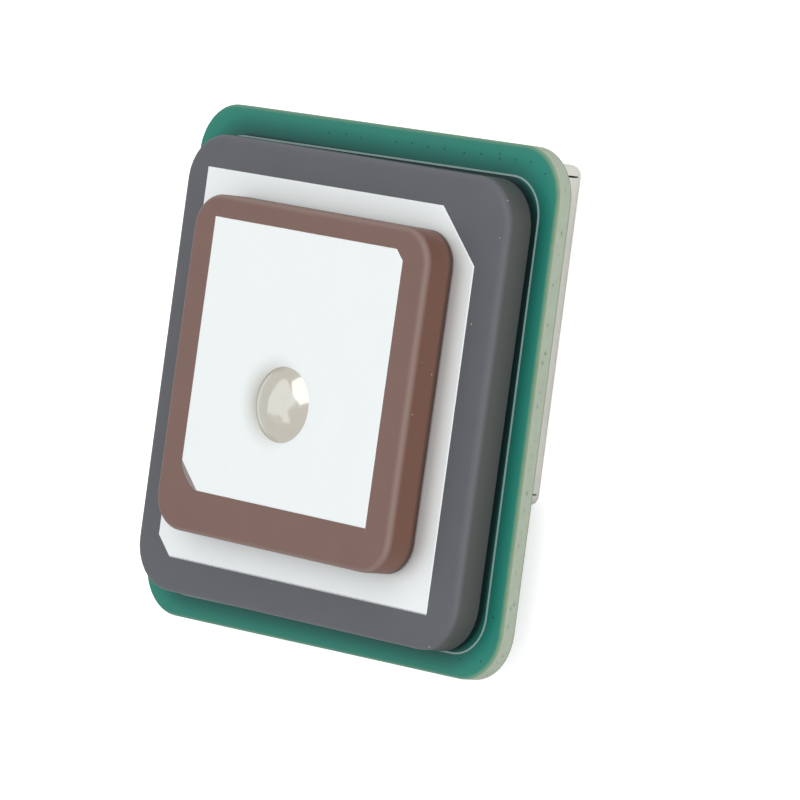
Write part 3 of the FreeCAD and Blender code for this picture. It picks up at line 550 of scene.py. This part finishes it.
# ---- Upper tile ----
# The same kind of ceramic in a brown body, 18 mm square and 2 mm thick, with a rounded face edge.
# It is stuck on the lower tile with the thin tape, and the same feed pin goes through it.
UPPER_TILE_EDGE = 0.36
upper_tile_low, upper_tile_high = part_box("upper_ceramic")
brown_ceramic = fired_ceramic("brown_fired_ceramic", "745850", "7C5F56", "907D76", "734E40",
                              (upper_tile_low[2] / MM, upper_tile_high[2] / MM), UPPER_TILE_EDGE)
dress(brown_ceramic, "upper_ceramic")


# ---- Silver face of the upper tile ----
# The same silver paste. Its lower left corner has been ground back to tune it, which leaves a
# grey streaked strip outside the cut, and its upper right corner has a small nick.
UPPER_SILVER_SIDE = 14.6
UPPER_SILVER_SHIFT = Vector((0.0, 0.56))
UPPER_TRIM = 1.45
UPPER_SMALL_TRIM = 0.55
UPPER_SILVER_HOLE = 0.45
upper_low, upper_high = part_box("upper_electrode")
upper_height = (upper_high[2] - upper_low[2]) / MM
upper_middle = UPPER_OFFSET + UPPER_SILVER_SHIFT
upper_line = trimmed_square(UPPER_SILVER_SIDE, upper_middle,
                            {(-1, -1): UPPER_TRIM, (1, 1): UPPER_SMALL_TRIM})
upper_edge = ragged(upper_line, 0.012, 8.4)
upper_face = sheet_mesh("upper_silver_face", [
    (0.0, upper_edge), (upper_height * 0.6, shift_outline(upper_edge, 0.01)),
    (upper_height, shift_outline(upper_edge, 0.04))], UPPER_SILVER_HOLE)


def shadow_left_of_cap(tree, spot):
    """Painted shadow on the silver round the solder cap, mostly to its left."""
    shadow_middle = add(tree, "VectorMath", {0: spot, 1: (-0.7, 0.05, 0.0)}, operation="SUBTRACT")
    flat = add(tree, "VectorMath", {0: shadow_middle.outputs[0], 1: (1.0, 1.0, 0.0)}, operation="MULTIPLY")
    reach = add(tree, "VectorMath", {0: flat.outputs[0]}, operation="LENGTH").outputs["Value"]
    return ramp(tree, reach, 2.7, 1.3), "C3C1B7"


upper_silver = fired_silver("fired_silver_paste_upper",
                            upper_middle.y - UPPER_SILVER_SIDE / 2, 0.02, shadow_left_of_cap)
upper_piece = place_piece("upper_silver_face", upper_face, upper_silver,
                          (FEED.x, FEED.y, upper_low[2] / MM), UPPER_TURN, 50.0)
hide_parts("upper_electrode")

# Ground silver: what is left of the paste where the corner was cut back, with fine streaks.
STRIP_WIDTH = 0.26
STRIP_HEIGHT = 0.008
STRIP_OVERLAP = 0.02
STRIP_STEPS = 14
ground, tree, shader = new_material("ground_silver_on_ceramic", Roughness=0.5, Metallic=0.2)
spot = millimetres(tree)
turned = add(tree, "Mapping", {"Vector": spot, "Rotation": (0.0, 0.0, math.radians(35)),
                               "Scale": (22.0, 2.0, 1.0)})
streaks = grain(tree, turned.outputs[0], 1.0, 2.0)
tree.links.new(blend(tree, streaks, linear("7E7270"), linear("A29A9C")), shader.inputs["Base Color"])
roughen(tree, shader, streaks, 0.3, 0.01)
cut_start = upper_middle + Vector((-UPPER_SILVER_SIDE / 2, UPPER_TRIM - UPPER_SILVER_SIDE / 2))
cut_end = upper_middle + Vector((UPPER_TRIM - UPPER_SILVER_SIDE / 2, -UPPER_SILVER_SIDE / 2))
outward = Vector((-1.0, -1.0)).normalized()
strip_outer = [cut_start.lerp(cut_end, step / STRIP_STEPS)
               + outward * STRIP_WIDTH * math.sin(math.pi * step / STRIP_STEPS) ** 0.6
               for step in range(STRIP_STEPS + 1)]
strip_inner = [cut_end.lerp(cut_start, step / STRIP_STEPS) - outward * STRIP_OVERLAP
               for step in range(STRIP_STEPS + 1)]
strip_line = strip_outer + strip_inner
strip_mesh = sheet_mesh("ground_corner", [(0.0, strip_line), (STRIP_HEIGHT, strip_line)])
strip = place_piece("ground_corner", strip_mesh, ground,
                    (FEED.x, FEED.y, upper_low[2] / MM), UPPER_TURN)


# ---- Feed pin ----
# Tinned brass pin with a flat head, pushed through both tiles and the board. Only its tip shows,
# on the board's back under the can.
def plated_metal(name, dull, bright, roughness, per_mm=7.0):
    """Plated or tinned metal with slight patches and a fine uneven surface."""
    material, tree, shader = new_material(name, Metallic=1.0)
    spot = millimetres(tree)
    patches = grain(tree, spot, per_mm, 3.0)
    tree.links.new(blend(tree, patches, linear(dull), linear(bright)), shader.inputs["Base Color"])
    uneven = sum_of(tree, "MULTIPLY_ADD", patches, 0.16, roughness - 0.08)
    tree.links.new(uneven, shader.inputs["Roughness"])
    roughen(tree, shader, patches, 0.12, 0.01)
    return material


# Tin over brass: pale, satin and a little warm.
tinned = plated_metal("tinned_brass", "C2BFB4", "D8D6CC", 0.32)
dress(tinned, "feed_pin", "connector_contacts", "connector_tabs")


# ---- Solder cap over the pin's head ----
# Solder that has wetted the silver and frozen as a low round cap with a bright, slightly uneven
# skin. It mirrors the studio: the key light at its right and the pale panel across its middle.
CAP_SWELL = 0.045
CAP_WAVES_PER_MM = 1.3
CAP_SEED = 7.6
CAP_RINGS = 40
CAP_STEPS = 96
# Tin solder, frozen from the melt: a bright mirror that its slight waves break up.
solder, tree, shader = new_material("bright_solder", Metallic=1.0, Roughness=0.13)
spot = millimetres(tree)
skin = blend(tree, grain(tree, spot, 1.6, 2.0), linear("DFDBCF"), linear("E6E2D8"))
parts = add(tree, "SeparateXYZ", {0: spot})
# Painted shade: the cap's low rim on its left side is given a darker colour.
shaded_left_rim = sum_of(tree, "MULTIPLY", ramp(tree, parts.outputs[2], 0.26, 0.02),
                 ramp(tree, parts.outputs[0], 0.2, -1.0))
tree.links.new(blend(tree, shaded_left_rim, skin, linear("ABA695")), shader.inputs["Base Color"])
roughen(tree, shader, grain(tree, spot, 2.2, 2.0), 0.08, 0.02)
cap_low, cap_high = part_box("solder_dome")
cap_radius = (cap_high[0] - cap_low[0]) / 2 / MM
cap_height = (cap_high[2] - cap_low[2]) / MM
ball = (cap_radius ** 2 + cap_height ** 2) / (2 * cap_height)
cap = bmesh.new()
rings = []
for ring in range(1, CAP_RINGS + 1):
    reach = cap_radius * math.sin(math.pi / 2 * ring / CAP_RINGS)
    row = []
    for step in range(CAP_STEPS):
        angle = 2 * math.pi * step / CAP_STEPS
        away = Vector((math.cos(angle), math.sin(angle)))
        height = math.sqrt(ball ** 2 - reach ** 2) - (ball - cap_height)
        share = reach / cap_radius
        swell = noise.noise(Vector((away.x * reach * CAP_WAVES_PER_MM,
                                    away.y * reach * CAP_WAVES_PER_MM, CAP_SEED)))
        height += CAP_SWELL * (swell - 1.0) * (1.0 - share ** 4)
        row.append(cap.verts.new((away.x * reach * MM, away.y * reach * MM, max(0.0, height) * MM)))
    rings.append(row)
summit_swell = noise.noise(Vector((0.0, 0.0, CAP_SEED)))
summit = cap.verts.new((0.0, 0.0, (cap_height + CAP_SWELL * (summit_swell - 1.0)) * MM))
for step in range(CAP_STEPS):
    cap.faces.new((summit, rings[0][step], rings[0][(step + 1) % CAP_STEPS]))
for inner, outer in zip(rings, rings[1:]):
    for step in range(CAP_STEPS):
        after = (step + 1) % CAP_STEPS
        cap.faces.new((inner[step], outer[step], outer[after], inner[after]))
cap.faces.new(rings[-1][::-1])
bmesh.ops.recalc_face_normals(cap, faces=cap.faces)
solder_cap = place_piece("solder_cap", kept_mesh("solder_cap", cap), solder,
                         (FEED.x, FEED.y, cap_low[2] / MM), 0.0, 60.0)
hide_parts("solder_dome")
dress(solder, "feed_joint")


# ---- Shield can ----
# Thin nickel-silver sheet, folded into a shallow can over the electronics and soldered to the
# board. Rolling leaves a satin surface with very fine lines.
# Rolled nickel silver: a soft sheen drawn out along the rolling lines.
sheet_metal, tree, shader = new_material("rolled_nickel_silver", Metallic=0.6)
spot = millimetres(tree)
drawn = add(tree, "Mapping", {"Vector": spot, "Scale": (18.0, 0.6, 4.0)})
lines = grain(tree, drawn.outputs[0], 1.0, 3.0)
clouds = grain(tree, spot, 0.25, 2.0)
tree.links.new(blend(tree, clouds, linear("E3E1DB"), linear("EBE9E4")), shader.inputs["Base Color"])
tree.links.new(sum_of(tree, "MULTIPLY_ADD", lines, 0.12, 0.4), shader.inputs["Roughness"])
roughen(tree, shader, lines, 0.1, 0.01)
dress(sheet_metal, "shield_can")


# ---- Solder round the can and the connector's feet ----
# Short beads of solder hold the can's walls, and smaller ones each foot of the connector. Each
# bead has a hollow face and runs out thin at its ends.
# Reflowed solder: duller than the cap, with a fine uneven skin.
joints, tree, shader = new_material("satin_solder", Metallic=1.0, Roughness=0.28)
spot = millimetres(tree)
tree.links.new(blend(tree, grain(tree, spot, 3.0), linear("C4C6C6"), linear("D5D6D5")),
               shader.inputs["Base Color"])
roughen(tree, shader, grain(tree, spot, 5.0), 0.15, 0.02)


def solder_beads(name, runs, rise, steps=12):
    """Hollow beads, each from a start to an end on the board's back, against a wall on one side."""
    mesh = bmesh.new()
    for start, end, outward in runs:
        rows = []
        for step in range(steps + 1):
            share = step / steps
            size = rise * max(0.08, math.sin(math.pi * share)) ** 0.4
            foot = start.lerp(end, share)
            row = []
            for part in range(6):
                angle = math.pi / 2 * part / 5
                out = size * (1.0 - math.sin(angle))
                down = size * (1.0 - math.cos(angle))
                row.append(mesh.verts.new((foot + outward * out - Vector((0, 0, down))) * MM))
            row.append(mesh.verts.new(foot * MM))
            rows.append(row)
        for first, second in zip(rows, rows[1:]):
            for index in range(7):
                after = (index + 1) % 7
                mesh.faces.new((first[index], first[after], second[after], second[index]))
        mesh.faces.new(rows[0])
        mesh.faces.new(rows[-1][::-1])
    bmesh.ops.recalc_face_normals(mesh, faces=mesh.faces)
    piece = place_piece(name, kept_mesh(name, mesh), joints, smooth_angle=50.0)


CAN_BEAD_HALF = 1.2
CAN_BEAD_RISE = 0.3
can_low, can_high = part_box("shield_can")
left, bottom = can_low[0] / MM, can_low[1] / MM
right, top = can_high[0] / MM, can_high[1] / MM
runs = []
for share in (0.12, 0.5, 0.88):
    level = bottom + (top - bottom) * share
    for wall, sign in ((left, -1), (right, 1)):
        runs.append((Vector((wall, level - CAN_BEAD_HALF, board_back)),
                     Vector((wall, level + CAN_BEAD_HALF, board_back)), Vector((sign, 0, 0))))
for share in (0.15, 0.85):
    across = left + (right - left) * share
    runs.append((Vector((across - CAN_BEAD_HALF, bottom, board_back)),
                 Vector((across + CAN_BEAD_HALF, bottom, board_back)), Vector((0, -1, 0))))
solder_beads("can_solder", runs, CAN_BEAD_RISE)


# ---- Connector ----
# Side-entry connector beside the can: a natural nylon housing with six tinned contacts and a
# tinned hold-down tab at each end, soldered to the board's back.
# Undyed moulded nylon: cream, satin, and faintly translucent at thin walls.
nylon, tree, shader = new_material("natural_nylon", Roughness=0.45, Subsurface_Weight=0.15)
spot = millimetres(tree)
shader.inputs["Subsurface Radius"].default_value = (0.0006, 0.0005, 0.0004)
tree.links.new(blend(tree, grain(tree, spot, 0.8, 3.0), linear("E6E0D0"), linear("ECE7DA")),
               shader.inputs["Base Color"])
roughen(tree, shader, grain(tree, spot, 12.0, 2.0), 0.12, 0.02)
dress(nylon, "connector_housing")
CONTACT_WIDTH = 0.3
CONTACT_BEAD_HALF = 0.2
CONTACT_BEAD_RISE = 0.18
CONTACTS = 6
contact_low, contact_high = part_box("connector_contacts")
tab_low, tab_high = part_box("connector_tabs")
toe = contact_high[1] / MM
pitch = ((contact_high[0] - contact_low[0]) / MM - CONTACT_WIDTH) / (CONTACTS - 1)
runs = []
for way in range(CONTACTS):
    across = contact_low[0] / MM + CONTACT_WIDTH / 2 + way * pitch
    runs.append((Vector((across - CONTACT_BEAD_HALF, toe, board_back)),
                 Vector((across + CONTACT_BEAD_HALF, toe, board_back)), Vector((0, 1, 0))))
for end, sign in ((tab_low[0] / MM, -1), (tab_high[0] / MM, 1)):
    runs.append((Vector((end, tab_low[1] / MM, board_back)), Vector((end, tab_high[1] / MM, board_back)),
                 Vector((sign, 0, 0))))
solder_beads("connector_solder", runs, CONTACT_BEAD_RISE)


# ---- Electronics under the can ----
# Moulded chips, seam-welded oscillator and crystal, and small two-terminal chips. The can hides
# them all; each kind still has the finish of the real thing.
def plain_finish(name, dark, light, roughness, per_mm):
    """A slightly uneven matt or satin finish."""
    material, tree, shader = new_material(name, Roughness=roughness)
    spot = millimetres(tree)
    tree.links.new(blend(tree, grain(tree, spot, per_mm, 3.0), linear(dark), linear(light)),
                   shader.inputs["Base Color"])
    roughen(tree, shader, grain(tree, spot, per_mm * 4, 2.0), 0.2, 0.02)
    return material


# Filled epoxy, plated lids, and the fired bodies of the small chips: all but the lids are matt.
dress(plain_finish("black_moulding_compound", "1B1B1D", "242427", 0.55, 3.0),
      "receiver_chip", "flash_memory", "voltage_regulator", "input_filters", "low_noise_amplifiers")
dress(plated_metal("gold_plated_lid", "B9A878", "CFC096", 0.35), "reference_oscillator",
      "clock_crystal")
dress(plain_finish("capacitor_ceramic", "8A6C4E", "9A7B5C", 0.4, 4.0), "chip_capacitors")
dress(plain_finish("resistor_glaze", "1C1C1F", "27272B", 0.3, 4.0), "chip_resistors")
dress(plain_finish("inductor_ferrite", "3B3938", "494644", 0.5, 5.0), "chip_inductors")


# ---- Floor, light and camera ----
# A plain white floor and even studio light: a softbox above the object's upper right, a wide pale
# panel above its left, a panel at its right side and a grey-white room. The camera looks from the
# front right.
FLOOR_SIZE = 6.0
FLOOR_GAP = 0.02
floor_mesh = bmesh.new()
bmesh.ops.create_grid(floor_mesh, x_segments=1, y_segments=1, size=FLOOR_SIZE / 2)
floor_data = kept_mesh("floor", floor_mesh)
floor = bpy.data.objects.new("floor", floor_data)
bpy.context.scene.collection.objects.link(floor)
floor.location.z = cad_box[0][2] - FLOOR_GAP * MM
# Matt white paper, lifted to white for the camera alone so that the object's shadow stays.
paper, tree, shader = new_material("white_studio_floor", Roughness=0.9)
shader.inputs["Base Color"].default_value = (0.82, 0.82, 0.82, 1.0)
shader.inputs["Emission Color"].default_value = (1.0, 1.0, 1.0, 1.0)
seen = add(tree, "LightPath").outputs["Is Camera Ray"]
tree.links.new(sum_of(tree, "MULTIPLY", seen, 0.6), shader.inputs["Emission Strength"])
floor_data.materials.append(paper)

room = bpy.data.worlds.new("studio_room")
bpy.context.scene.world = room
room.use_nodes = True
tree = room.node_tree
backdrop = tree.nodes["Background"]
seen = add(tree, "LightPath").outputs["Is Camera Ray"]
tree.links.new(blend(tree, seen, (0.72, 0.715, 0.7, 1.0), (1.0, 1.0, 1.0, 1.0)),
               backdrop.inputs["Color"])


def panel_light(name, direction, along, distance, width, height, power, colour):
    """A rectangular light that faces the object from a direction, its width along another."""
    lamp = bpy.data.lights.new(name, "AREA")
    lamp.shape = "RECTANGLE"
    lamp.size = width
    lamp.size_y = height
    lamp.energy = power
    lamp.color = colour
    holder = bpy.data.objects.new(name, lamp)
    bpy.context.scene.collection.objects.link(holder)
    aim = Vector(direction).normalized()
    holder.location = aim * distance
    across = aim.cross(Vector(along)).normalized()
    holder.rotation_euler = Matrix((across.cross(aim), across, aim)).transposed().to_euler()


panel_light("softbox", (0.29, 0.58, 0.77), (0.58, -0.78, 0.24), distance=0.6,
            width=0.62, height=0.62, power=0.95, colour=(1.0, 1.0, 1.0))
panel_light("pale_panel", (-0.44, 0.02, 0.9), (-0.85, 0.38, -0.42), distance=0.6,
            width=0.66, height=0.62, power=0.38, colour=(0.75, 0.88, 1.0))
panel_light("side_panel", (0.85, -0.2, 0.45), (0.0, 1.0, 0.0), distance=0.7,
            width=0.9, height=0.5, power=1.4, colour=(1.0, 1.0, 1.0))

lens = bpy.data.cameras.new("camera")
lens.lens = 312.45
lens.sensor_width = 36.0
lens.clip_start = 0.01
lens.clip_end = 20.0
view = bpy.data.objects.new("camera", lens)
bpy.context.scene.collection.objects.link(view)
view.location = Vector((264.535, 18.172, 257.192)) * MM
view.rotation_euler = [math.radians(angle) for angle in (4.6851, 45.5399, 10.5916)]
bpy.context.scene.camera = view
bpy.context.scene.view_settings.view_transform = "Standard"
